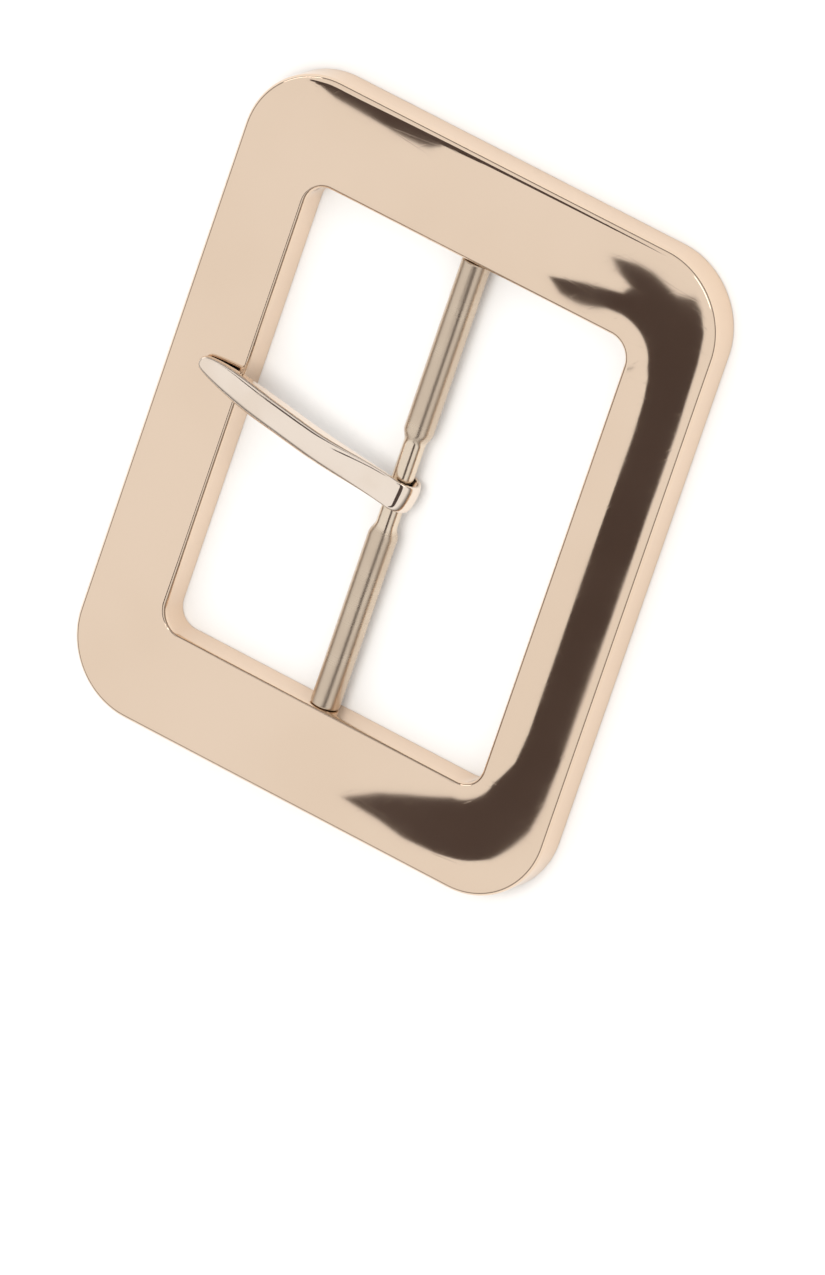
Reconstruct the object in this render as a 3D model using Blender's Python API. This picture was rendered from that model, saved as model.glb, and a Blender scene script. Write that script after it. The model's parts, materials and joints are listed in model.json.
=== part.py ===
"""Centre-bar belt buckle: a cast rectangular frame, a bar across its opening and a prong on the bar.

The buckle lies on its back. X runs along the strap, Y along the bar and Z out of the face, with the
origin at the middle of the back. All sizes are in metres.
"""

import math

import bmesh
import bpy
from mathutils import Matrix, Vector

MM = 0.001
SHARP_ANGLE = math.radians(35)

# The frame's two outlines, each a rounded rectangle: along the strap, across it, corner radius.
FRAME_OUTER = (54.8 * MM, 69.7 * MM, 8.25 * MM)
FRAME_OPENING = (37.4 * MM, 48.7 * MM, 2.25 * MM)

# The frame's section: upright walls, a round shoulder on each side and a low crown between them.
WALL_HEIGHT = 3.2 * MM
SHOULDER_RADIUS = 0.75 * MM
CROWN_RISE = 0.25 * MM
CROWN_SOFTNESS = 0.9  # larger spreads the crown's bend evenly, smaller gathers it at the middle
WALL_THICKNESS = 1.2 * MM
FACE_THICKNESS = 1.35 * MM
BOSS_WIDTH = 8.0 * MM

# The bar and the slots that hold its ends.
BAR_HEIGHT = 2.1 * MM
BAR_RADIUS = 1.5 * MM
WAIST_RADIUS = 1.1 * MM
WAIST_HALF_LENGTH = 4.4 * MM
WAIST_TAPER = 1.4 * MM
TENON_RADIUS = 0.8 * MM
TENON_LENGTH = 4.2 * MM
TENON_CHAMFER = 0.3 * MM
SLOT_MOUTH = 1.3 * MM
FIT_GAP = 0.3 * MM

# The prong. Distances along it are from the bar's axis towards its tip.
EYE_CLEARANCE = 0.3 * MM
EYE_WALL = 0.6 * MM
PRONG_WIDTH = 3.0 * MM
PRONG_LENGTH = 23.6 * MM
PRONG_THICKNESS = 1.7 * MM
TIP_THICKNESS = 0.9 * MM
TIP_WIDTH = 0.7 * MM
TIP_TAPER_START = 15.5 * MM
EDGE_SHARE = 0.45  # the upright edges' share of the thickness, below the domed top
LIFTED_BY = 0.75  # share of the length by which the lower face lies level above the frame
THICK_BY = 0.4  # share of the length by which it has its full thickness
THINS_FROM = 0.6  # share of the length from which it thins towards the tip
PRONG_REST_GAP = 0.25 * MM
PRONG_ARCH = 0.35 * MM
CURL_OPENING = math.radians(38)
PRONG_LEAN = math.radians(9)
PRONG_SHIFT = -0.8 * MM

CORNER_STEPS = 10
SHOULDER_STEPS = 4
CROWN_STEPS = 6
BAR_STEPS = 32
EYE_STEPS = 20
SHANK_STEPS = 18
DOME_STEPS = 6


def clear_scene():
    for old in list(bpy.data.objects):
        bpy.data.objects.remove(old, do_unlink=True)


def polished_metal(name, colour, roughness):
    material = bpy.data.materials.new(name)
    material.use_nodes = True
    shader = material.node_tree.nodes["Principled BSDF"]
    shader.inputs["Base Color"].default_value = (*colour, 1.0)
    shader.inputs["Metallic"].default_value = 1.0
    shader.inputs["Roughness"].default_value = roughness
    material.diffuse_color = (*colour, 1.0)
    return material


def new_object(name, bm, material=None, smooth=True):
    """The bmesh as an object in the scene, with its faces turned outwards and its edges kept crisp."""
    bmesh.ops.recalc_face_normals(bm, faces=bm.faces)
    mesh = bpy.data.meshes.new(name)
    bm.to_mesh(mesh)
    bm.free()
    if smooth:
        mesh.shade_smooth()
        mesh.set_sharp_from_angle(angle=SHARP_ANGLE)
    if material:
        mesh.materials.append(material)
    made = bpy.data.objects.new(name, mesh)
    bpy.context.scene.collection.objects.link(made)
    return made


def cutter(name, bm):
    made = new_object(name, bm, smooth=False)
    made.hide_render = True
    made.display_type = "WIRE"
    return made


def cut(target, tool):
    modifier = target.modifiers.new(tool.name, "BOOLEAN")
    modifier.operation = "DIFFERENCE"
    modifier.solver = "EXACT"
    modifier.object = tool


def rounded_rectangle(size, inset):
    """The outline moved inwards by inset (outwards if negative), anticlockwise from the +X side."""
    half_x = size[0] / 2 - inset
    half_y = size[1] / 2 - inset
    radius = size[2] - inset
    points = []
    for quarter, (sign_x, sign_y) in enumerate(((1, 1), (-1, 1), (-1, -1), (1, -1))):
        centre = Vector((sign_x * (half_x - radius), sign_y * (half_y - radius)))
        for step in range(CORNER_STEPS + 1):
            angle = math.radians(90) * (quarter + step / CORNER_STEPS)
            points.append(centre + radius * Vector((math.cos(angle), math.sin(angle))))
    return points


def bridge(bm, rings, close=False):
    """Quads between each closed ring of vertices and the next, and from the last to the first if close."""
    pairs = list(zip(rings, rings[1:]))
    if close:
        pairs.append((rings[-1], rings[0]))
    for low, high in pairs:
        for i in range(len(low)):
            j = (i + 1) % len(low)
            bm.faces.new((low[i], low[j], high[j], high[i]))


def crown(across):
    """Height above the shoulders at a share across the face, from 0 at the outside to 1 at the opening."""
    u = 2 * across - 1
    k = CROWN_SOFTNESS
    return CROWN_RISE * (1 - (math.hypot(u, k) - k) / (math.hypot(1, k) - k))


def frame_section():
    """(inset from the outline, share across the face, height) up the outer wall, over and down the inner one."""
    shoulder = []
    for step in range(SHOULDER_STEPS + 1):
        angle = math.radians(90) * step / SHOULDER_STEPS
        inset = SHOULDER_RADIUS * (1 - math.cos(angle))
        shoulder.append((inset, WALL_HEIGHT + SHOULDER_RADIUS * math.sin(angle)))
    outside = [(0.0, 0.0, 0.0)] + [(inset, 0.0, z) for inset, z in shoulder]
    face = []
    for step in range(1, CROWN_STEPS):
        across = step / CROWN_STEPS
        face.append((SHOULDER_RADIUS, across, WALL_HEIGHT + SHOULDER_RADIUS + crown(across)))
    inside = [(inset, 1.0, z) for inset, _, z in reversed(outside)]
    return outside + face + inside


def ring_points(inset, across, height):
    outer = rounded_rectangle(FRAME_OUTER, inset)
    inner = rounded_rectangle(FRAME_OPENING, -inset)
    return [(*a.lerp(b, across), height) for a, b in zip(outer, inner)]


def solid_ring():
    bm = bmesh.new()
    rings = [[bm.verts.new(p) for p in ring_points(*station)] for station in frame_section()]
    bridge(bm, rings, close=True)
    return bm


def half_channel(side):
    """The hollow in the back, along one side of the frame and both its corners, up to the two bosses."""
    outer = rounded_rectangle(FRAME_OUTER, WALL_THICKNESS)
    inner = rounded_rectangle(FRAME_OPENING, -WALL_THICKNESS)
    roof = WALL_HEIGHT + SHOULDER_RADIUS - FACE_THICKNESS
    pairs = [(a, b) for a, b in zip(outer, inner) if side * a.x > 0]
    if side > 0:
        half = len(pairs) // 2
        pairs = pairs[half:] + pairs[:half]
    ends = []
    for a, b in (pairs[0], pairs[-1]):
        ends.append((Vector((side * BOSS_WIDTH / 2, a.y)), Vector((side * BOSS_WIDTH / 2, b.y))))
    pairs = [ends[0]] + pairs + [ends[1]]
    bm = bmesh.new()
    rings = []
    for a, b in pairs:
        corners = ((*a, -FIT_GAP), (*b, -FIT_GAP), (*b, roof), (*a, roof))
        rings.append([bm.verts.new(p) for p in corners])
    bridge(bm, rings)
    bm.faces.new(rings[0])
    bm.faces.new(rings[-1])
    return bm


def keyhole(end):
    """The slot for one tenon: a round seat with a narrower mouth that is open at the back."""
    seat = TENON_RADIUS + FIT_GAP
    mouth = math.asin(SLOT_MOUTH / 2 / seat)
    outline = [(-SLOT_MOUTH / 2, -FIT_GAP), (SLOT_MOUTH / 2, -FIT_GAP)]
    for step in range(BAR_STEPS + 1):
        angle = -math.pi / 2 + mouth + (2 * math.pi - 2 * mouth) * step / BAR_STEPS
        outline.append((seat * math.cos(angle), BAR_HEIGHT + seat * math.sin(angle)))
    start = end * (FRAME_OPENING[1] / 2 - FIT_GAP)
    stop = end * (FRAME_OPENING[1] / 2 + TENON_LENGTH + FIT_GAP)
    bm = bmesh.new()
    rings = [[bm.verts.new((x, y, z)) for x, z in outline] for y in (start, stop)]
    bridge(bm, rings)
    bm.faces.new(rings[0])
    bm.faces.new(rings[-1])
    return bm


def make_frame(material):
    frame = new_object("frame", solid_ring(), material)
    for name, side in (("left", -1), ("right", 1)):
        cut(frame, cutter("channel_" + name, half_channel(side)))
    for name, end in (("top", 1), ("bottom", -1)):
        cut(frame, cutter("slot_" + name, keyhole(end)))
    return frame


def bar_profile():
    """(distance from the middle, radius) from the waist out to one end."""
    shoulder = FRAME_OPENING[1] / 2 - FIT_GAP
    tip = FRAME_OPENING[1] / 2 + TENON_LENGTH
    return [
        (WAIST_HALF_LENGTH, WAIST_RADIUS),
        (WAIST_HALF_LENGTH + WAIST_TAPER, BAR_RADIUS),
        (shoulder, BAR_RADIUS),
        (shoulder, TENON_RADIUS),
        (tip - TENON_CHAMFER, TENON_RADIUS),
        (tip, TENON_RADIUS - TENON_CHAMFER),
    ]


def make_bar(material):
    half = bar_profile()
    profile = [(-y, r) for y, r in reversed(half)] + half
    bm = bmesh.new()
    rings = []
    for y, radius in profile:
        ring = []
        for step in range(BAR_STEPS):
            angle = 2 * math.pi * step / BAR_STEPS
            ring.append(bm.verts.new((radius * math.cos(angle), y, radius * math.sin(angle))))
        rings.append(ring)
    bridge(bm, rings)
    bm.faces.new(rings[0])
    bm.faces.new(rings[-1])
    bar = new_object("centre_bar", bm, material)
    bar.location = (0, 0, BAR_HEIGHT)
    return bar


def smoothstep(low, high, value):
    share = min(1.0, max(0.0, (value - low) / (high - low)))
    return share * share * (3 - 2 * share)


def prong_width(along):
    """Full width at a distance from the axis: parallel sides, then a rounded point."""
    if along < TIP_TAPER_START:
        return PRONG_WIDTH
    share = (along - TIP_TAPER_START) / (PRONG_LENGTH - TIP_TAPER_START)
    return TIP_WIDTH + (PRONG_WIDTH - TIP_WIDTH) * math.sqrt(max(0.0, 1 - share**2))


def prong_stations():
    """(x, z, direction in, thickness, width) from the curl's free end, round the bar and out to the tip.

    x and z are on the lower face of the strip, which is the bore in the eye. They are measured from
    the bar's axis with the tip towards -X, and direction in points from the lower face to the top.
    """
    bore = WAIST_RADIUS + EYE_CLEARANCE
    top = math.pi / 2
    start = top - (2 * math.pi - math.pi / 2 - CURL_OPENING)
    stations = []
    for step in range(EYE_STEPS + 1):
        angle = start + (top - start) * step / EYE_STEPS
        outwards = Vector((math.cos(angle), math.sin(angle)))
        stations.append((bore * outwards, outwards, EYE_WALL, PRONG_WIDTH))
    rest_height = WALL_HEIGHT + SHOULDER_RADIUS + CROWN_RISE + PRONG_REST_GAP - BAR_HEIGHT
    up = Vector((0, 1))
    for step in range(1, SHANK_STEPS + 1):
        along = PRONG_LENGTH * step / SHANK_STEPS
        share = step / SHANK_STEPS
        height = bore + (rest_height - bore) * smoothstep(0, LIFTED_BY, share)
        height += PRONG_ARCH * math.sin(math.pi * min(1.0, along / TIP_TAPER_START)) ** 2
        grown = EYE_WALL + (PRONG_THICKNESS - EYE_WALL) * smoothstep(0, THICK_BY, share)
        thickness = grown - (grown - TIP_THICKNESS) * smoothstep(THINS_FROM, 1, share)
        stations.append((Vector((-along, height)), up, thickness, prong_width(along)))
    return stations


def prong_section(width, thickness):
    """(across, above the lower face) round the strip: a flat lower face and a domed top."""
    half = width / 2
    points = [(-half, 0.0), (half, 0.0)]
    for step in range(DOME_STEPS + 1):
        angle = math.pi * step / DOME_STEPS
        above = EDGE_SHARE + (1 - EDGE_SHARE) * math.sin(angle)
        points.append((half * math.cos(angle), thickness * above))
    return points


def make_prong(material):
    bm = bmesh.new()
    rings = []
    for place, outwards, thickness, width in prong_stations():
        ring = []
        for across, above in prong_section(width, thickness):
            point = place + outwards * above
            ring.append(bm.verts.new((point.x, across, point.y)))
        rings.append(ring)
    bridge(bm, rings)
    bm.faces.new(rings[0])
    bm.faces.new(rings[-1])
    bmesh.ops.transform(bm, matrix=Matrix.Rotation(-PRONG_LEAN, 4, "Z"), verts=bm.verts)
    prong = new_object("prong", bm, material)
    pivot = bpy.data.objects.new("prong_pivot", None)
    pivot.location = (0, PRONG_SHIFT, BAR_HEIGHT)
    bpy.context.scene.collection.objects.link(pivot)
    prong.parent = pivot
    return prong


def main():
    clear_scene()
    frame_metal = polished_metal("frame_metal", (0.80, 0.70, 0.58), 0.10)
    bar_metal = polished_metal("bar_metal", (0.74, 0.66, 0.56), 0.22)
    prong_metal = polished_metal("prong_metal", (0.86, 0.79, 0.70), 0.14)
    make_frame(frame_metal)
    make_bar(bar_metal)
    make_prong(prong_metal)


main()
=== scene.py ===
# %% [markdown]
# # A centre-bar belt buckle
#
# The real thing is three pieces of metal. The frame is a cast rectangular ring, filed, buffed to a
# mirror and plated in a pale nickel-gold. A turned bar crosses its opening, and a bent prong hangs
# on the bar with its tip over the frame. Each is built below as a surface worked out with numpy: a
# small function gives the shape, and the mesh is only that function sampled on a grid.
#
# The working model is loaded first. Its boxes give the outer sizes and its joint gives the place of
# the hinge. Sizes that a box can't tell are named where they are used.

# %% Load the working model
import json
import math

import bmesh
import bpy
import numpy as np
from mathutils import Matrix, Vector


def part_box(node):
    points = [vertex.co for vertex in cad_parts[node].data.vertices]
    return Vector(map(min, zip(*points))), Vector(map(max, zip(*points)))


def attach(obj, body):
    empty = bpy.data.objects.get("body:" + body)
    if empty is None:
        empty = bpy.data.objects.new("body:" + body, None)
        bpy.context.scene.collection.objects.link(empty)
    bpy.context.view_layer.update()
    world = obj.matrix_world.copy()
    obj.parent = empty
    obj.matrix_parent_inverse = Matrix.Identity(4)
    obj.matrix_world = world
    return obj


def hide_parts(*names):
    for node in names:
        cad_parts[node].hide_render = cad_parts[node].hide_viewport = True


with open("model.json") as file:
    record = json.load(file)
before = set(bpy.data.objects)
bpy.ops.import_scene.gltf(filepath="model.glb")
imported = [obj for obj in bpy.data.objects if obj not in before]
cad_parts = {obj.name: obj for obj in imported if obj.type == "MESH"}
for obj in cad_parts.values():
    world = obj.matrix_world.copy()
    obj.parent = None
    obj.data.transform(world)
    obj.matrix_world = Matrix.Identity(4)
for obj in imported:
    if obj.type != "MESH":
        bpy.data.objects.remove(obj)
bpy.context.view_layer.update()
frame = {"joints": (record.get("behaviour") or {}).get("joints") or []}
MM = 0.001

# %% [markdown]
# The driving sizes come from the boxes of the working pieces and from the hinge. What a box can't
# tell about the frame, such as the size of the opening, repeats the working model's own numbers.

# %% Sizes
FRAME_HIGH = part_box("frame")[1]
BAR_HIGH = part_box("centre_bar")[1]
HINGE = Vector(frame["joints"][0]["pos_m"])
OPENING_HALF = (18.7 * MM, 24.35 * MM)
OUTER_CORNER = 8.25 * MM
INNER_CORNER = 2.25 * MM
SHOULDER_RADIUS = 0.75 * MM
CROWN_RISE = 0.25 * MM
CROWN_SOFTNESS = 0.9
WALL_HEIGHT = FRAME_HIGH.z - SHOULDER_RADIUS - CROWN_RISE
frame_size = (2 * FRAME_HIGH.x, 2 * FRAME_HIGH.y, FRAME_HIGH.z)
print("frame", " x ".join(f"{size / MM:.2f}" for size in frame_size), "mm")
print(f"bar radius {BAR_HIGH.x / MM:.2f} mm, hinge at {[round(c / MM, 2) for c in HINGE]} mm")

# %% [markdown]
# ## The view
#
# The camera stands a little to the right of the buckle and above its top edge, with a long lens,
# so that parallel edges stay nearly parallel. Its direction and its roll are given as two vectors,
# and it looks at a point below the buckle, which leaves the buckle in the upper part of the image.

# %% Camera
TOWARDS_CAMERA = Vector((0.372, 0.344, 0.862)).normalized()
CAMERA_UP = Vector((-0.4277, 0.8879, -0.1697))
CAMERA_DISTANCE = 2.5
IMAGE_HEIGHT = 123.94 * MM
LOOK_OFFSET = (1.03 * MM, -14.91 * MM)
BUCKLE_MIDDLE = Vector((0, -0.16, 1.8)) * MM
SENSOR = 36.0


def view_axes(towards, up):
    """The camera's right, up and backward directions: up is made square to the backward one."""
    right = up.cross(towards).normalized()
    return right, towards.cross(right), towards


right, up, towards = view_axes(TOWARDS_CAMERA, CAMERA_UP)
camera_place = BUCKLE_MIDDLE + CAMERA_DISTANCE * towards
looked_at = BUCKLE_MIDDLE + LOOK_OFFSET[0] * right + LOOK_OFFSET[1] * up
right, up, towards = view_axes((camera_place - looked_at).normalized(), up)

camera_data = bpy.data.cameras.new("camera")
camera_data.sensor_width = SENSOR
camera_data.lens = SENSOR * (camera_place - looked_at).length / IMAGE_HEIGHT
camera_data.clip_start = 0.01
camera = bpy.data.objects.new("camera", camera_data)
camera_turn = Matrix((right, up, towards)).transposed().to_4x4()
camera.matrix_world = Matrix.Translation(camera_place) @ camera_turn
bpy.context.scene.collection.objects.link(camera)
bpy.context.scene.camera = camera
print(f"lens {camera_data.lens:.0f} mm, camera at {[round(c, 3) for c in camera_place]} m")

# %% [markdown]
# ## From a grid of points to a mesh
#
# A surface is a function of two parameters. Sampled on a grid it is an array of points with one
# row for each value of the first parameter, and the faces only say which neighbours join. A tube
# closes its columns, a ring closes both ways, and a row whose points all fall together becomes a
# pole once doubled points are merged.


# %% Grid surfaces
MERGE_DISTANCE = 0.0005 * MM


def grid_faces(rows, columns, close_rows, close_columns):
    """Quads of a grid numbered row by row: each joins point (r, c) to its next row and column."""
    r = np.arange(rows if close_rows else rows - 1)[:, None]
    c = np.arange(columns if close_columns else columns - 1)[None, :]
    next_r = (r + 1) % rows
    next_c = (c + 1) % columns
    corners = (
        r * columns + c,
        r * columns + next_c,
        next_r * columns + next_c,
        next_r * columns + c,
    )
    return np.stack(np.broadcast_arrays(*corners), axis=-1).reshape(-1, 4)


def surface(name, points, close_rows=False, close_columns=True, solid=True, sharp=40, **marks):
    """Mesh object on points[row, column], with each mark kept as a number at every point."""
    rows, columns = points.shape[:2]
    mesh = bpy.data.meshes.new(name)
    faces = grid_faces(rows, columns, close_rows, close_columns)
    mesh.from_pydata(points.reshape(-1, 3).tolist(), [], faces.tolist())
    for mark, values in marks.items():
        layer = mesh.attributes.new(mark, "FLOAT", "POINT")
        at_points = np.broadcast_to(values, points.shape[:2]).astype(np.float32)
        layer.data.foreach_set("value", at_points.ravel())
    if solid:
        bm = bmesh.new()
        bm.from_mesh(mesh)
        bmesh.ops.remove_doubles(bm, verts=bm.verts, dist=MERGE_DISTANCE)
        bmesh.ops.dissolve_degenerate(bm, edges=bm.edges, dist=MERGE_DISTANCE)
        bmesh.ops.recalc_face_normals(bm, faces=bm.faces)
        bm.to_mesh(mesh)
        bm.free()
    mesh.shade_smooth()
    mesh.set_sharp_from_angle(angle=math.radians(sharp))
    made = bpy.data.objects.new(name, mesh)
    bpy.context.scene.collection.objects.link(made)
    print(f"{name}: {len(mesh.vertices)} points, {len(mesh.polygons)} faces")
    return made


def smooth(low, high, value):
    """0 below low, 1 above high, and 3s^2 - 2s^3 of the share s between them."""
    share = np.clip((value - low) / (high - low), 0, 1)
    return share * share * (3 - 2 * share)


# %% [markdown]
# ## The frame's plan
#
# Seen from above the frame is two rounded rectangles, its outer edge and its opening. They share
# their directions: where the outer edge faces 30 degrees up, so does the edge of the opening. So
# one list of stations serves both, and each station has a point on either edge and the direction
# that both face. A section is then carried round the stations.

# %% Stations round the frame
CORNER_STEPS = 28
BOSS_HALF = 3.95 * MM
BOSS_FLANK = 0.55 * MM
BOSS_STEP = 0.15 * MM


def side_positions(half_inner, half_outer, has_boss):
    """Places along one straight side, on the opening's edge and on the outer edge.

    They agree as far as the boss reaches, and from there spread evenly out to the corners, whose
    arcs start further out on the outer edge than on the opening's.
    """
    ends = np.array([0.5, 0.9, 0.97, 1.0])
    reach = BOSS_HALF + BOSS_FLANK
    if has_boss:
        middle = np.arange(0, reach, BOSS_STEP)
    else:
        middle = np.linspace(0, reach, 3)[:-1]
    inner = np.concatenate([middle, reach + (half_inner - reach) * np.concatenate([[0], ends])])
    outer = np.concatenate([middle, reach + (half_outer - reach) * np.concatenate([[0], ends])])
    both = [np.concatenate([-half[:0:-1], half]) for half in (inner, outer)]
    return both[0], both[1]


def ring_stations():
    """(outer edge, opening's edge, direction faced) of every station, anticlockwise.

    A straight side's points are its distance from the middle times its direction, plus the place
    along it. A corner's are its centre plus its radius times the direction.
    """
    outer_half = np.array((FRAME_HIGH.x, FRAME_HIGH.y))
    inner_half = np.array(OPENING_HALF)
    outer, inner, facing = [], [], []
    for quarter in range(4):
        turn = math.radians(90) * quarter
        out = np.round((math.cos(turn), math.sin(turn)))
        along = np.array((-out[1], out[0]))
        length = np.abs(along)
        inner_t, outer_t = side_positions(
            length @ inner_half - INNER_CORNER, length @ outer_half - OUTER_CORNER, quarter % 2 == 1
        )
        outer.append(out * outer_half + outer_t[:, None] * along)
        inner.append(out * inner_half + inner_t[:, None] * along)
        facing.append(np.tile(out, (len(inner_t), 1)))
        angle = turn + np.linspace(0, math.radians(90), CORNER_STEPS + 1)[1:-1]
        direction = np.stack([np.cos(angle), np.sin(angle)], axis=-1)
        corner = out + along
        outer.append(corner * (outer_half - OUTER_CORNER) + OUTER_CORNER * direction)
        inner.append(corner * (inner_half - INNER_CORNER) + INNER_CORNER * direction)
        facing.append(direction)
    return np.concatenate(outer), np.concatenate(inner), np.concatenate(facing)


outer_edge, inner_edge, facing = ring_stations()
print(f"{len(facing)} stations round the frame")

# %% [markdown]
# ## The frame's section
#
# Cut across, the frame is an upside-down trough: two upright walls, a softly crowned face between
# round shoulders, and a hollow in the back that saves metal and lets the casting cool evenly. A
# point of the section is three numbers: its share of the way across from the outer edge to the
# opening, how far it is set in from the nearer edge, and its height. Every corner has a radius,
# because a buffing wheel leaves none sharp, and the shoulders run into the crown without a kink.

# %% Section of the frame
WALL_THICKNESS = 1.2 * MM
HOLLOW_ROOF = WALL_HEIGHT + SHOULDER_RADIUS - 1.35 * MM
BACK_RADIUS = 0.16 * MM
RIM_RADIUS = 0.12 * MM
ROOT_RADIUS = 0.6 * MM
HOLD = 0.06 * MM
CROWN_SLOPE = math.radians(5.9)
FACE_STEPS = 44
ROOF_STEPS = 44


def arc(centre, radius, start, stop, steps):
    """(inset, height) at angles in degrees from facing the edge, 0, to facing up, 90."""
    angle = np.radians(np.linspace(start, stop, steps + 1))
    in_from_edge = centre[0] - radius * np.cos(angle)
    above_back = centre[1] + radius * np.sin(angle)
    return np.stack([in_from_edge, above_back], axis=-1)


def wall_section():
    """(inset, height) from the face's edge, over the shoulder, down the wall, into the hollow."""
    top = 90 - math.degrees(CROWN_SLOPE)
    root = (WALL_THICKNESS + ROOT_RADIUS, HOLLOW_ROOF - ROOT_RADIUS)
    return np.concatenate(
        [
            arc((SHOULDER_RADIUS, WALL_HEIGHT), SHOULDER_RADIUS, top, 0, 16),
            [(0, WALL_HEIGHT - HOLD), (0, BACK_RADIUS + HOLD)],
            arc((BACK_RADIUS, BACK_RADIUS), BACK_RADIUS, 0, -90, 5),
            [(BACK_RADIUS + HOLD, 0), (WALL_THICKNESS - RIM_RADIUS - HOLD, 0)],
            arc((WALL_THICKNESS - RIM_RADIUS, RIM_RADIUS), RIM_RADIUS, -90, -180, 4),
            [(WALL_THICKNESS, root[1] - HOLD)],
            arc(root, ROOT_RADIUS, 0, 90, 8),
        ]
    )


def crown(across):
    """Height above the shoulders: a hyperbola, steepest at the edges and level at the middle."""
    u = 2 * across - 1
    k = CROWN_SOFTNESS
    return CROWN_RISE * (1 - (np.hypot(u, k) - k) / (math.hypot(1, k) - k))


def frame_section():
    """(across, inset, height, share in the hollow) once round, from the face's outer edge."""
    wall = wall_section()
    hollow = (wall[:, 0] >= WALL_THICKNESS - RIM_RADIUS) & (wall[:, 1] < HOLLOW_ROOF + HOLD)
    face_across = np.linspace(0, 1, FACE_STEPS + 1)[1:-1]
    face_height = wall[0, 1] + crown(face_across)
    roof_across = np.linspace(1, 0, ROOF_STEPS + 1)[1:-1]
    across = np.concatenate([face_across, np.ones(len(wall)), roof_across, np.zeros(len(wall))])
    inset = np.concatenate(
        [
            np.full(len(face_across), wall[0, 0]),
            wall[:, 0],
            np.full(len(roof_across), wall[-1, 0]),
            wall[::-1, 0],
        ]
    )
    height = np.concatenate(
        [face_height, wall[:, 1], np.full(len(roof_across), HOLLOW_ROOF), wall[::-1, 1]]
    )
    inside = np.concatenate(
        [np.zeros(len(face_across)), hollow, np.ones(len(roof_across)), hollow[::-1]]
    )
    return across, inset, height, inside


across, inset, height, inside = frame_section()
print(f"{len(across)} points in the section, walls {WALL_THICKNESS / MM:.1f} mm thick")
print(f"the hollow's roof is {HOLLOW_ROOF / MM:.2f} mm above the back")

# %% [markdown]
# ## Carrying the section round, with a boss at each end of the bar
#
# The bar needs solid metal to sit in. At the middle of the top and bottom members the hollow is
# therefore shallower, down to nothing, which leaves a solid boss with sloped flanks, as a casting
# has so that it leaves its mould. The same grid makes it: the hollow's heights are only multiplied
# by a number that falls from 1 to 0 across the flank.
#
# Once the bar is in its slot, two blows of a punch beside the slot push metal over it. These are
# two small dents in the back of each boss.

# %% Frame surface
STAKE_PLACE = (1.45 * MM, 2.5 * MM)
STAKE_SIZE = (0.42 * MM, 0.75 * MM)
STAKE_DEPTH = 0.3 * MM


def boss_share(points_x, side_facing):
    """1 on the bosses, 0 elsewhere, by distance from the middle of the top and bottom members."""
    flank = smooth(BOSS_HALF, BOSS_HALF + BOSS_FLANK, np.abs(points_x))
    return (1 - flank) * (np.abs(side_facing) > 0.999)


def ring_surface():
    """Each point is (1 - a)(outer - i n) + a (inner + i n) at its height, n being the way faced."""
    a = across[None, :, None]
    i = inset[None, :, None]
    n = facing[:, None, :]
    flat = (1 - a) * (outer_edge[:, None, :] - i * n) + a * (inner_edge[:, None, :] + i * n)
    boss = boss_share(inner_edge[:, 0], facing[:, 1])[:, None]
    z = height[None, :] * (1 - inside[None, :] * boss)
    from_slot = np.abs(flat[:, :, 0]) - STAKE_PLACE[0]
    from_wall = np.abs(flat[:, :, 1]) - OPENING_HALF[1] - STAKE_PLACE[1]
    dent = np.exp(-((from_slot / STAKE_SIZE[0]) ** 2) - (from_wall / STAKE_SIZE[1]) ** 2)
    z = z + STAKE_DEPTH * dent * inside[None, :] * (boss > 0.999)
    return np.concatenate([flat, z[:, :, None]], axis=-1)


frame_piece = surface(
    "buckle_frame", ring_surface(), close_rows=True, cast=inside[None, :], sharp=50
)

# %% [markdown]
# The slots for the bar are sawn through each boss from the back. A keyhole outline, a round seat
# with a narrower mouth, is carried along the bar's direction as a closed plug, and a Boolean takes
# the plug away from the casting.

# %% Slots for the bar
TENON_RADIUS = 0.8 * MM
SLOT_FIT = 0.05 * MM
MOUTH_HALF = 0.56 * MM
PLUG_OVERLAP = 0.5 * MM
PLUG_DROP = 1.0 * MM


def keyhole_outline(steps=48):
    """(x, z) anticlockwise from one side of the mouth, round the seat, to the other side."""
    seat = TENON_RADIUS + SLOT_FIT
    opening = math.asin(MOUTH_HALF / seat)
    angle = np.linspace(opening, 2 * math.pi - opening, steps) - math.pi / 2
    ring = np.stack([seat * np.cos(angle), HINGE.z + seat * np.sin(angle)], axis=-1)
    return np.concatenate([ring, [(-MOUTH_HALF, -PLUG_DROP), (MOUTH_HALF, -PLUG_DROP)]])


def slot_plug(name, end):
    """The outline at the slot's open end and at its blind end, each closed to a middle point."""
    outline = keyhole_outline()
    middle = np.tile(outline.mean(axis=0), (len(outline), 1))
    start = end * (OPENING_HALF[1] - PLUG_OVERLAP)
    stop = end * (BAR_HIGH.y + SLOT_FIT)
    rows = [(middle, start), (outline, start), (outline, stop), (middle, stop)]
    points = [np.stack([xz[:, 0], np.full(len(xz), y), xz[:, 1]], axis=-1) for xz, y in rows]
    return surface(name, np.array(points))


def subtract(target, plug):
    """Takes the plug out of the target and removes it from the scene."""
    modifier = target.modifiers.new("slot", "BOOLEAN")
    modifier.operation = "DIFFERENCE"
    modifier.solver = "EXACT"
    modifier.object = plug
    graph = bpy.context.evaluated_depsgraph_get()
    mesh = bpy.data.meshes.new_from_object(target.evaluated_get(graph))
    target.modifiers.clear()
    target.data = mesh
    bpy.data.objects.remove(plug)


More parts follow.
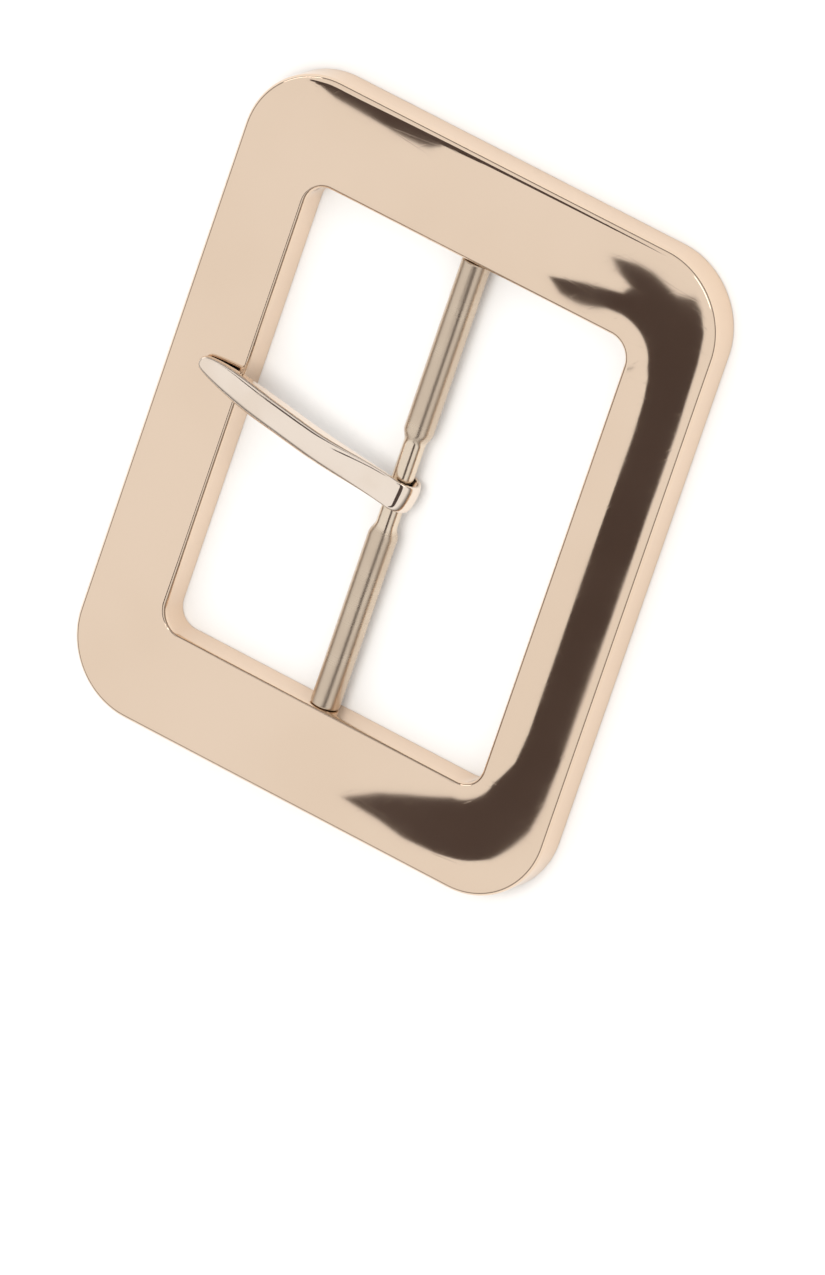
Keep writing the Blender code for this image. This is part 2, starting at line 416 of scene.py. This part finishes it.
for plug_name, end in (("slot_top", 1), ("slot_bottom", -1)):
    subtract(frame_piece, slot_plug(plug_name, end))
frame_piece.data.set_sharp_from_angle(angle=math.radians(50))
print("frame after slotting:", len(frame_piece.data.polygons), "faces")

# %% [markdown]
# ## The centre bar
#
# The bar is turned from rod. Its radius along its length is all there is to say: a shallow waist
# at the middle where the prong turns, full round out to the frame, then a shoulder and a thinner
# tenon at each end. That profile is spun round the bar's axis. The tight radii of the tool show at
# every change of size.

# %% Bar
WAIST_RADIUS = 1.1 * MM
WAIST_HALF = 4.4 * MM
WAIST_TAPER = 1.4 * MM
BAR_END_GAP = 0.06 * MM
BAR_SHOULDER = OPENING_HALF[1] - BAR_END_GAP
TENON_CHAMFER = 0.3 * MM
EDGE_BREAK = 0.18 * MM
EDGE_HOLD = 0.1 * MM
BAR_TURN_STEPS = 72


def bar_profile():
    """(distance from the middle, radius) from the middle to one end's axis."""
    full = BAR_HIGH.x
    taper = np.linspace(WAIST_HALF, WAIST_HALF + WAIST_TAPER, 13)
    rise = smooth(taper[0], taper[-1], taper)
    angle = np.radians(np.linspace(90, 0, 6))
    edge = np.stack(
        [
            BAR_SHOULDER - EDGE_BREAK + EDGE_BREAK * np.cos(angle),
            full - EDGE_BREAK + EDGE_BREAK * np.sin(angle),
        ],
        axis=-1,
    )
    return np.concatenate(
        [
            [(0, WAIST_RADIUS), (WAIST_HALF - EDGE_HOLD, WAIST_RADIUS)],
            np.stack([taper, WAIST_RADIUS + (full - WAIST_RADIUS) * rise], axis=-1),
            [(taper[-1] + EDGE_HOLD, full), (0.5 * (taper[-1] + BAR_SHOULDER), full)],
            [(BAR_SHOULDER - EDGE_BREAK - EDGE_HOLD, full)],
            edge,
            [(BAR_SHOULDER, TENON_RADIUS + EDGE_HOLD), (BAR_SHOULDER, TENON_RADIUS)],
            [(BAR_SHOULDER + EDGE_HOLD, TENON_RADIUS)],
            [(BAR_HIGH.y - TENON_CHAMFER, TENON_RADIUS)],
            [(BAR_HIGH.y, TENON_RADIUS - TENON_CHAMFER), (BAR_HIGH.y, 0)],
        ]
    )


half_profile = bar_profile()
profile = np.concatenate([half_profile[:0:-1] * (-1, 1), half_profile])
spin = np.linspace(0, 2 * math.pi, BAR_TURN_STEPS, endpoint=False)
bar_points = np.stack(
    np.broadcast_arrays(
        profile[:, 1:] * np.cos(spin), profile[:, :1], HINGE.z + profile[:, 1:] * np.sin(spin)
    ),
    axis=-1,
)
bar_piece = surface("buckle_bar", bar_points)

# %% [markdown]
# ## The prong
#
# The prong is a strip of half-round wire. Its root is thinned and curled round the bar's waist as
# an open eye, its shank rises to clear the frame, and its end is ground to a rounded point. The
# path and the section are separate: the path gives a place, a direction and a thickness for each
# station, and the half-round section is set up on it. The tip stops a quarter of a millimetre
# above the frame, so that the two never touch at rest.

# %% Path of the prong
EYE_CLEARANCE = 0.3 * MM
EYE_WALL = 0.6 * MM
PRONG_WIDTH = 3.0 * MM
PRONG_LENGTH = 23.6 * MM
PRONG_THICKNESS = 1.7 * MM
TIP_THICKNESS = 0.9 * MM
TIP_WIDTH = 0.7 * MM
TIP_TAPER_START = 15.5 * MM
NOSE_LENGTH = 0.55 * MM
PRONG_REST_GAP = 0.25 * MM
PRONG_ARCH = 0.35 * MM
CURL_OPENING = math.radians(38)
PRONG_LEAN = math.radians(9)
EYE_STEPS = 60
SHANK_STEPS = 110


def prong_path():
    """(place, direction outwards, thickness, width) from the curl's free end to the tip.

    The eye is a circle round the bar. From its top the shank runs level, rises by a smooth step
    to the height at which it clears the frame, and arches a little between the two.
    """
    bore = WAIST_RADIUS + EYE_CLEARANCE
    eye_angle = np.linspace(CURL_OPENING - math.pi, math.pi / 2, EYE_STEPS + 1)
    eye_out = np.stack([np.cos(eye_angle), np.sin(eye_angle)], axis=-1)
    share = np.linspace(0, 1, SHANK_STEPS + 1)[1:]
    share = share + 0.04 * np.sin(2 * math.pi * share) / (2 * math.pi)
    along = PRONG_LENGTH * share
    rest_height = FRAME_HIGH.z + PRONG_REST_GAP - HINGE.z
    rise = bore + (rest_height - bore) * smooth(0, 0.75, share)
    rise += PRONG_ARCH * np.sin(math.pi * np.minimum(1, along / TIP_TAPER_START)) ** 2
    place = np.concatenate([bore * eye_out, np.stack([-along, rise], axis=-1)])
    outwards = np.concatenate([eye_out, np.tile((0.0, 1.0), (len(share), 1))])
    grown = EYE_WALL + (PRONG_THICKNESS - EYE_WALL) * smooth(0, 0.4, share)
    thinned = grown - (grown - TIP_THICKNESS) * smooth(0.6, 1, share)
    thickness = np.concatenate([np.full(len(eye_out), EYE_WALL), thinned])
    taper = np.clip((along - TIP_TAPER_START) / (PRONG_LENGTH - TIP_TAPER_START), 0, 1)
    tapered = TIP_WIDTH + (PRONG_WIDTH - TIP_WIDTH) * np.sqrt(1 - taper**2)
    width = np.concatenate([np.full(len(eye_out), PRONG_WIDTH), tapered])
    return place, outwards, thickness, width


# %% [markdown]
# The section is a half-round: flat below, short upright edges, and half an ellipse over the top.
# Its lower corners are rounded. At both ends of the strip the section shrinks to a point as a
# quarter circle does, so that the strip closes in a soft nose and not in a sawn face.

# %% Surface of the prong
DOME_STEPS = 40
LOWER_CORNER = 0.14 * MM
EDGE_SHARE = 0.45


def half_round(width, thickness):
    """(across, above) once round the section, for arrays of widths and thicknesses."""
    half = width[:, None] / 2
    tall = thickness[:, None]
    corner = np.minimum(LOWER_CORNER, 0.2 * tall)
    dome = np.linspace(0, math.pi, DOME_STEPS + 1)[None, :]
    dome_across = half * np.cos(dome)
    dome_above = tall * (EDGE_SHARE + (1 - EDGE_SHARE) * np.sin(dome))
    turn = np.radians(np.linspace(0, 90, 5))[None, :]
    left_across = -half + corner * (1 - np.cos(turn))
    left_above = corner * (1 - np.sin(turn))
    floor = np.linspace(-0.9, 0.9, 8)[None, :]
    floor_across = (half - corner) * floor
    across_all = [dome_across, left_across, floor_across, -left_across[:, ::-1]]
    above_all = [dome_above, left_above, 0 * floor_across, left_above[:, ::-1]]
    return np.concatenate(across_all, axis=1), np.concatenate(above_all, axis=1)


def prong_surface():
    """Each point is place + outwards x above, at its distance across.

    The whole strip is then turned by the lean and moved to the hinge. Towards each end the section
    shrinks about its middle by sqrt(1 - (1 - d)^2), d being the share of the nose's length left.
    """
    place, outwards, thickness, width = prong_path()
    step = np.linalg.norm(np.diff(place, axis=0), axis=1)
    run = np.concatenate([[0], np.cumsum(step)])
    to_end = np.minimum(run / (0.5 * EYE_WALL), (run[-1] - run) / NOSE_LENGTH)
    nose = np.sqrt(1 - (1 - np.clip(to_end, 0, 1)) ** 2)
    section_across, section_above = half_round(width, thickness)
    middle = 0.4 * thickness[:, None]
    section_across = section_across * nose[:, None]
    section_above = middle + (section_above - middle) * nose[:, None]
    xz = place[:, None, :] + outwards[:, None, :] * section_above[:, :, None]
    points = np.stack([xz[:, :, 0], section_across, xz[:, :, 1]], axis=-1)
    lean = np.array(Matrix.Rotation(-PRONG_LEAN, 3, "Z"))
    return points @ lean.T + np.array(HINGE)


prong_piece = surface("buckle_prong", prong_surface(), sharp=60)

# %% Each piece on its body
for piece, node, body, slot in (
    (frame_piece, "frame", "frame_body", "frame_metal"),
    (bar_piece, "centre_bar", "frame_body", "bar_metal"),
    (prong_piece, "prong", "prong_body", "prong_metal"),
):
    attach(piece, body)
    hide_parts(node)

# %% [markdown]
# ## Writing materials as sums
#
# A material is arithmetic on numbers that change over the surface. The class below holds one
# output of a node, and its operators add the Math nodes that work an expression out, so that
# `0.06 + 0.05 * haze` is all that has to be written. Every other kind of node comes from one
# method, which takes the node's settings and the values or links of its sockets.


# %% Sockets with arithmetic
class Socket:
    """One output of a shader node, on which +, -, *, / and ** add Math nodes."""

    def __init__(self, tree, output=None):
        self.tree = tree
        self.output = output

    def node(self, kind, settings=None, inputs=None, output=0):
        """A new node: first its settings, then its sockets. A dict of stops fills its ramp."""
        made = self.tree.nodes.new("ShaderNode" + kind)
        for name, value in (settings or {}).items():
            if name == "stops":
                fill_ramp(made.color_ramp, value)
            else:
                setattr(made, name, value)
        for name, value in (inputs or {}).items():
            if isinstance(value, Socket):
                self.tree.links.new(value.output, made.inputs[name])
            else:
                made.inputs[name].default_value = value
        return Socket(self.tree, made.outputs[output])

    def math(self, operation, *values):
        """A Math node on these values, sockets or numbers."""
        return self.node("Math", {"operation": operation}, dict(enumerate(values)))

    def __add__(self, other):
        return self.math("ADD", self, other)

    def __sub__(self, other):
        return self.math("SUBTRACT", self, other)

    def __rsub__(self, other):
        return self.math("SUBTRACT", other, self)

    def __mul__(self, other):
        return self.math("MULTIPLY", self, other)

    def __truediv__(self, other):
        return self.math("DIVIDE", self, other)

    def __pow__(self, other):
        return self.math("POWER", self, other)

    __radd__ = __add__
    __rmul__ = __mul__

    def distance(self):
        """How far the number is from 0."""
        return self.math("ABSOLUTE", self)

    def step(self, low, high):
        """0 below low, 1 above high and a smooth step between. The other way round, it falls."""
        limits = {"Value": self, "From Min": low, "From Max": high}
        return self.node("MapRange", {"interpolation_type": "SMOOTHSTEP"}, limits)

    def mix(self, low, high):
        """The colour low where this number is 0 and high where it is 1."""
        return self.node("Mix", {"data_type": "RGBA"}, {0: self, 6: low, 7: high}, output=2)

    def moved(self, **how):
        """A place turned, moved and scaled by a Mapping node."""
        return self.node("Mapping", {}, {"Vector": self, **how})

    def noise(self, size, detail=2.0, roughness=0.5):
        """Cloudy numbers about 0.5 whose lumps are about size across, in metres."""
        sockets = {"Vector": self, "Scale": 1 / size, "Detail": detail, "Roughness": roughness}
        return self.node("TexNoise", {}, sockets)

    def part(self, index):
        """One coordinate of a place: 0 for X, 1 for Y, 2 for Z."""
        return self.node("SeparateXYZ", {}, {0: self}, output=index)


def fill_ramp(ramp, stops):
    """Sets a colour ramp's stops from {position: colour}."""
    while len(ramp.elements) < len(stops):
        ramp.elements.new(0.5)
    for element, (position, colour) in zip(ramp.elements, sorted(stops.items())):
        element.position = position
        element.color = (*colour, 1)


# %% [markdown]
# ## Hairlines
#
# Polished metal that has been handled carries hairline scratches. A Voronoi texture scatters one
# point in each cell of a stretched grid, and the distance to that point, measured across the
# stretch, is a short straight line through it. Most cells are left empty by a random number, and
# the grid is turned to a new angle for each set.


# %% Hairlines and metal
def hairlines(place, turn, length, spacing, width, kept):
    """1 on short lines of about that length and width, 0 between them."""
    stretched = place.moved(Rotation=(0.3, 0.2, turn), Scale=(1 / length, 1 / spacing, 1 / spacing))
    cell = {"Vector": stretched, "Scale": 1.0, "Randomness": 0.9}
    centre = stretched.node("TexVoronoi", {}, cell, output="Position")
    colour = stretched.node("TexVoronoi", {}, cell, output="Color")
    offset = stretched.node("VectorMath", {"operation": "SUBTRACT"}, {0: stretched, 1: centre})
    across_line = offset.part(1).distance().step(width / spacing, 0.3 * width / spacing)
    along_line = offset.part(0).distance().step(0.42, 0.2)
    present = colour.part(0).step(1 - kept, 1 - 0.8 * kept)
    return across_line * along_line * present


def hairline_sets(place, sets):
    """The sum of several sets, each (turn, length, spacing, width, share kept), sizes in mm."""
    drawn = [
        hairlines(place, turn, length * MM, spacing * MM, width * MM, kept)
        for turn, length, spacing, width, kept in sets
    ]
    return sum(drawn[1:], drawn[0])


def material(name):
    """A new material, its tree as a Socket, and its Principled shader."""
    made = bpy.data.materials.new(name)
    made.use_nodes = True
    return made, Socket(made.node_tree), made.node_tree.nodes["Principled BSDF"]


def feed(shader, **values):
    """Links sockets to the shader's inputs, or sets values there. _ stands for a space."""
    for name, value in values.items():
        entry = shader.inputs[name.replace("_", " ")]
        if isinstance(value, Socket):
            value.tree.links.new(value.output, entry)
        else:
            entry.default_value = value


# %% [markdown]
# ## The plated finishes
#
# The frame's plate is pale nickel-gold over a buffed casting, so it is nearly a mirror. Three
# things keep it from being a perfect one: a waviness of a few thousandths of a millimetre that the
# buffing wheel leaves, a faint haze, and hairlines. The hollow back was never buffed, so it shows
# the grain of the casting under a duller plate.


# %% Frame finish
PALE_PLATE = ((0.79, 0.625, 0.485, 1), (0.765, 0.60, 0.46, 1))
CAST_METAL = ((0.36, 0.29, 0.22, 1), (0.52, 0.43, 0.34, 1))
FRAME_HAIRLINES = (
    (0.5, 7, 1.3, 0.045, 0.5),
    (1.9, 4, 1.1, 0.035, 0.35),
    (2.7, 9, 1.9, 0.05, 0.3),
)
WAVE_DEPTH = 0.02 * MM
GRAIN_DEPTH = 0.06 * MM
FRAME_LINE_DEPTH = 0.0004 * MM


def frame_finish():
    """Buffed plate outside and dull cast grain inside, told apart by the mark "cast"."""
    made, tree, shader = material("frame_metal")
    place = tree.node("TexCoord", output="Object")
    cast = tree.node("Attribute", {"attribute_name": "cast"}, output="Fac")
    haze = place.noise(11 * MM, detail=3).step(0.42, 0.7)
    fine = place.noise(1.6 * MM, detail=4, roughness=0.6)
    lines = hairline_sets(place, FRAME_HAIRLINES)
    grain = place.noise(0.35 * MM, detail=3, roughness=0.6)
    tone = place.noise(17 * MM, detail=2)
    plate = tone.step(0.3, 0.7).mix(*PALE_PLATE)
    dull = grain.mix(*CAST_METAL)
    polished = 0.045 + 0.04 * haze + 0.02 * fine + 0.03 * lines
    feed(
        shader,
        Base_Color=cast.mix(plate, dull),
        Metallic=1.0,
        Roughness=polished + cast * (0.34 + 0.12 * grain),
    )
    wave = place.noise(9 * MM, detail=1)
    waved = tree.node("Bump", {}, {"Height": wave, "Distance": WAVE_DEPTH, "Strength": 1.0})
    relief = cast * grain * GRAIN_DEPTH - lines * FRAME_LINE_DEPTH
    sockets = {"Height": relief, "Distance": 1.0, "Strength": 1.0, "Normal": waved}
    feed(shader, Normal=tree.node("Bump", {}, sockets))
    return made


# %% [markdown]
# The bar is drawn and turned, so fine rings run round it and catch the light as soft lines. The
# plate is duller than the frame's, and brighter at the waist, where the prong rubs it.

# %% Bar finish
BAR_PLATE = ((0.60, 0.49, 0.38, 1), (0.76, 0.64, 0.51, 1))
RING_SPACING = 0.09 * MM
RING_DEPTH = 0.004 * MM


def bar_finish():
    """Rings that depend only on the place along the bar, under a plate worn at the waist."""
    made, tree, shader = material("bar_metal")
    place = tree.node("TexCoord", output="Object")
    along = place.part(1)
    rings = tree.node(
        "TexNoise",
        {"noise_dimensions": "1D"},
        {"W": along, "Scale": 1 / RING_SPACING, "Detail": 3.0},
    )
    haze = place.noise(4 * MM, detail=3)
    rubbed = along.distance().step(WAIST_HALF + 0.6 * WAIST_TAPER, WAIST_HALF)
    worn = (haze * 0.6 + rubbed * 0.4).step(0.25, 0.75)
    feed(
        shader,
        Base_Color=worn.mix(*BAR_PLATE),
        Metallic=1.0,
        Roughness=0.26 - 0.12 * worn + 0.08 * rings,
    )
    feed(shader, Normal=tree.node("Bump", {}, {"Height": rings * RING_DEPTH, "Distance": 1.0}))
    return made


# %% [markdown]
# The prong's plate is a little whiter than the frame's. It is handled every time the belt is worn,
# so it has a haze of its own and short hairlines.

# %% Prong finish
PRONG_PLATE = ((0.84, 0.73, 0.63, 1), (0.80, 0.68, 0.57, 1))
PRONG_HAIRLINES = ((0.1, 5, 0.8, 0.04, 0.5), (1.4, 3, 0.9, 0.03, 0.3))
PRONG_WAVE_DEPTH = 0.012 * MM
PRONG_LINE_DEPTH = 0.0012 * MM


def prong_finish():
    """A bright plate whose haze and hairlines raise its roughness."""
    made, tree, shader = material("prong_metal")
    place = tree.node("TexCoord", output="Object")
    haze = place.noise(6 * MM, detail=3).step(0.4, 0.7)
    lines = hairline_sets(place, PRONG_HAIRLINES)
    feed(
        shader,
        Base_Color=haze.mix(*PRONG_PLATE),
        Metallic=1.0,
        Roughness=0.07 + 0.05 * haze + 0.10 * lines,
    )
    relief = place.noise(5 * MM, detail=1) * PRONG_WAVE_DEPTH - lines * PRONG_LINE_DEPTH
    feed(shader, Normal=tree.node("Bump", {}, {"Height": relief, "Distance": 1.0}))
    return made


for piece, finish in (
    (frame_piece, frame_finish()),
    (bar_piece, bar_finish()),
    (prong_piece, prong_finish()),
):
    piece.data.materials.clear()
    piece.data.materials.append(finish)
    piece.data.polygons.foreach_set("material_index", np.zeros(len(piece.data.polygons), np.int32))
    print(piece.name, "is finished in", finish.name)

# %% [markdown]
# ## Stage and light
#
# A mirror shows only what stands round it, so the light for a buckle is mostly pale surfaces. The
# sky is an even soft white that darkens towards the horizon, as the far end of a studio does.
#
# Two dark cards lie level above the buckle, clear of the prong's swing, for their reflections
# alone: they cast no shadow and aren't seen themselves. One puts the dark band along the right
# member, the other the streak along the top one. Their outlines suit the camera's place, and from
# elsewhere they give other shapes. The buckle's own surface has no dark parts.
#
# Two long low lamps give the glints at the top corners. The key lamp overhead makes the soft
# shadow, and is kept out of the reflections, where it would draw a white line on the shoulders.

# %% Floor and cards
FLOOR_HALF = 6.0
FLOOR_DROP = 0.02 * MM
CARD_HEIGHT = 30 * MM
CARD_COLOUR = (0.078, 0.06, 0.058)
CARDS = {
    "card_band": [
        (-3.4, 12.8), (1.3, 15.8), (5.3, 17.9), (6.2, 20.6), (4.6, 22.6), (3.6, 25.2),
        (6.5, 26.3), (8.3, 26.2), (10.7, 25.2), (12.8, 24.4), (16, 25.6), (17.9, 24.2),
        (19.8, 21.3), (21.3, 16.4), (21.7, 8.9), (21.6, -28), (21.2, -32.3), (20.2, -35.5),
        (17.3, -38.7), (13.7, -42.5), (9.9, -44.6), (5.5, -46.5), (1.6, -46.9), (-1.4, -45.8),
        (-3.5, -45.4), (-5.6, -44.9), (-1.6, -38.8), (1.2, -36), (5.5, -32.6), (8, -30.6),
        (9.2, -27), (9.2, -5), (9.6, 6), (8.9, 9.6), (7.6, 11.8), (5.6, 12.8), (3.6, 12.4),
        (1.8, 11), (0.2, 10.4), (-2, 10.5),
    ],
    "card_streak": [
        (-46, 45), (-33.8, 28.2), (-28.1, 27.9), (-22.3, 27.4), (-18.9, 27.6), (-17.2, 29.2),
        (-12.9, 30.4), (-8, 33.5), (0, 37), (8.8, 41), (5, 47), (-4, 52), (-18, 50), (-27, 38),
        (-36, 38),
    ],
}
FLOOR_CORNERS = ((-1, -1), (1, -1), (1, 1), (-1, 1))
MATTE_SPECULAR = 0.2


def plane_grid(corners, steps=2):
    """Points (1-u)(1-v)A + u(1-v)B + u v C + (1-u)v D between four corners."""
    a, b, c, d = (np.array(corner, float) for corner in corners)
    u, v = np.meshgrid(np.linspace(0, 1, steps), np.linspace(0, 1, steps), indexing="ij")
    u, v = u[:, :, None], v[:, :, None]
    return (1 - u) * (1 - v) * a + u * (1 - v) * b + u * v * c + (1 - u) * v * d


def flat_finish(name, colour, roughness):
    """One even matt colour."""
    made, _, shader = material(name)
    feed(
        shader,
        Base_Color=(*colour, 1),
        Roughness=roughness,
        Specular_IOR_Level=MATTE_SPECULAR,
    )
    return made


def flat_card(name, outline, height):
    """One flat face at that height, with the outline's corners in millimetres."""
    corners = [(x * MM, y * MM, height) for x, y in outline]
    mesh = bpy.data.meshes.new(name)
    mesh.from_pydata(corners, [], [list(range(len(corners)))])
    made = bpy.data.objects.new(name, mesh)
    bpy.context.scene.collection.objects.link(made)
    return made


floor_corners = [(x * FLOOR_HALF, y * FLOOR_HALF, -FLOOR_DROP) for x, y in FLOOR_CORNERS]
floor = surface("floor", plane_grid(floor_corners), close_columns=False, solid=False)
floor.data.materials.append(flat_finish("floor_paper", (0.88, 0.875, 0.865), 0.7))

black = flat_finish("card_black", CARD_COLOUR, 0.8)
for card_name, outline in CARDS.items():
    card = flat_card(card_name, outline, CARD_HEIGHT)
    card.data.materials.append(black)
    card.visible_camera = False
    card.visible_diffuse = False
    card.visible_shadow = False
print("on the stage: the floor and", len(CARDS), "cards")

# %% Sky and lamps
SKY_STOPS = {
    0.0: (0.10, 0.09, 0.085),
    0.12: (0.22, 0.20, 0.19),
    0.4: (1.0, 1.0, 1.0),
    1.0: (1.0, 1.0, 1.0),
}
SEEN_SKY = (0.97, 0.967, 0.96, 1)
CORNER_LAMP_SIZE = (0.6, 0.14)
CORNER_LAMP_POWER = 0.55


def sky():
    """White above, falling to grey at the horizon; plain and pale where the camera sees it."""
    world = bpy.data.worlds.new("studio")
    world.use_nodes = True
    tree = Socket(world.node_tree)
    up_share = tree.node("TexCoord", output="Generated").part(2)
    glow = up_share.node("ValToRGB", {"stops": SKY_STOPS}, {"Fac": up_share})
    seen = tree.node("LightPath", output="Is Camera Ray").mix(glow, SEEN_SKY)
    background = world.node_tree.nodes["Background"]
    world.node_tree.links.new(seen.output, background.inputs["Color"])
    bpy.context.scene.world = world


def soft_lamp(name, place, size, power, colour=(1, 1, 1), mirrored=True):
    """An area lamp, width by height, that faces the middle of the buckle."""
    data = bpy.data.lights.new(name, "AREA")
    data.shape = "RECTANGLE"
    data.size, data.size_y = size
    data.energy = power
    data.color = colour
    lamp = bpy.data.objects.new(name, data)
    lamp.location = place
    lamp.rotation_euler = Vector(place).to_track_quat("Z", "Y").to_euler()
    lamp.visible_camera = False
    lamp.visible_glossy = mirrored
    bpy.context.scene.collection.objects.link(lamp)


sky()
soft_lamp("key", (0.1, 0.15, 1.2), (0.6, 0.6), 6.0, (1.0, 0.985, 0.96), mirrored=False)
for lamp_name, lamp_place in (
    ("corner_right", (0.49, 0.71, 0.56)),
    ("corner_left", (-0.84, 0.53, 0.21)),
):
    soft_lamp(lamp_name, lamp_place, CORNER_LAMP_SIZE, CORNER_LAMP_POWER)
bpy.context.scene.view_settings.view_transform = "Standard"
